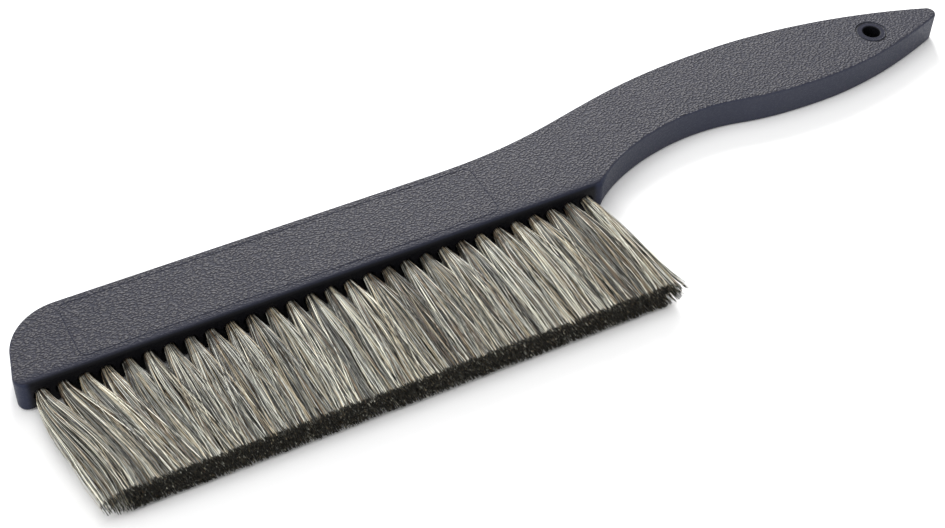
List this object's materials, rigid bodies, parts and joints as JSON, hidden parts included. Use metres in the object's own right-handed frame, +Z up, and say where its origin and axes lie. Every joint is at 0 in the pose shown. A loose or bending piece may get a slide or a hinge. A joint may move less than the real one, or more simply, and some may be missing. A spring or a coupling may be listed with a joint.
{
  "type": "bee brush",
  "caption": "Bee brush: a moulded plastic handle whose straight head carries a row of hair tufts, each folded over a wire anchor in a blind hole, with a hanging hole at the tip.",
  "frame": {"origin": "bottom centre of the bounding box, on the surface that the lower broad face lies on", "axes": "+X along the brush from the free end of the head to the hanging hole, +Y from the tuft face to the back of the brush, +Z up out of the upper broad face"},
  "size_m": [0.3778, 0.0984, 0.012],
  "materials": {
    "moulded_plastic": "dark blue-grey moulded plastic, fine leather grain on the broad faces and smooth edges",
    "hair": "natural mixed grey, beige and brown hair with dark cut ends",
    "anchor_wire": "flat galvanised wire, cut to length"
  },
  "bodies": {
    "root": {"handle_block": "moulded_plastic", "tuft_01": "hair", "tuft_02": "hair", "tuft_03": "hair", "tuft_04": "hair", "tuft_05": "hair", "tuft_06": "hair", "tuft_07": "hair", "tuft_08": "hair", "tuft_09": "hair", "tuft_10": "hair", "tuft_11": "hair", "tuft_12": "hair", "tuft_13": "hair", "tuft_14": "hair", "tuft_15": "hair", "tuft_16": "hair", "tuft_17": "hair", "tuft_18": "hair", "tuft_19": "hair", "tuft_20": "hair", "tuft_21": "hair", "tuft_22": "hair", "tuft_23": "hair", "tuft_24": "hair", "tuft_25": "hair", "tuft_26": "hair", "tuft_27": "hair", "tuft_28": "hair", "tuft_29": "hair", "anchor_01": "anchor_wire", "anchor_02": "anchor_wire", "anchor_03": "anchor_wire", "anchor_04": "anchor_wire", "anchor_05": "anchor_wire", "anchor_06": "anchor_wire", "anchor_07": "anchor_wire", "anchor_08": "anchor_wire", "anchor_09": "anchor_wire", "anchor_10": "anchor_wire", "anchor_11": "anchor_wire", "anchor_12": "anchor_wire", "anchor_13": "anchor_wire", "anchor_14": "anchor_wire", "anchor_15": "anchor_wire", "anchor_16": "anchor_wire", "anchor_17": "anchor_wire", "anchor_18": "anchor_wire", "anchor_19": "anchor_wire", "anchor_20": "anchor_wire", "anchor_21": "anchor_wire", "anchor_22": "anchor_wire", "anchor_23": "anchor_wire", "anchor_24": "anchor_wire", "anchor_25": "anchor_wire", "anchor_26": "anchor_wire", "anchor_27": "anchor_wire", "anchor_28": "anchor_wire", "anchor_29": "anchor_wire"}
  },
  "joints": []
}
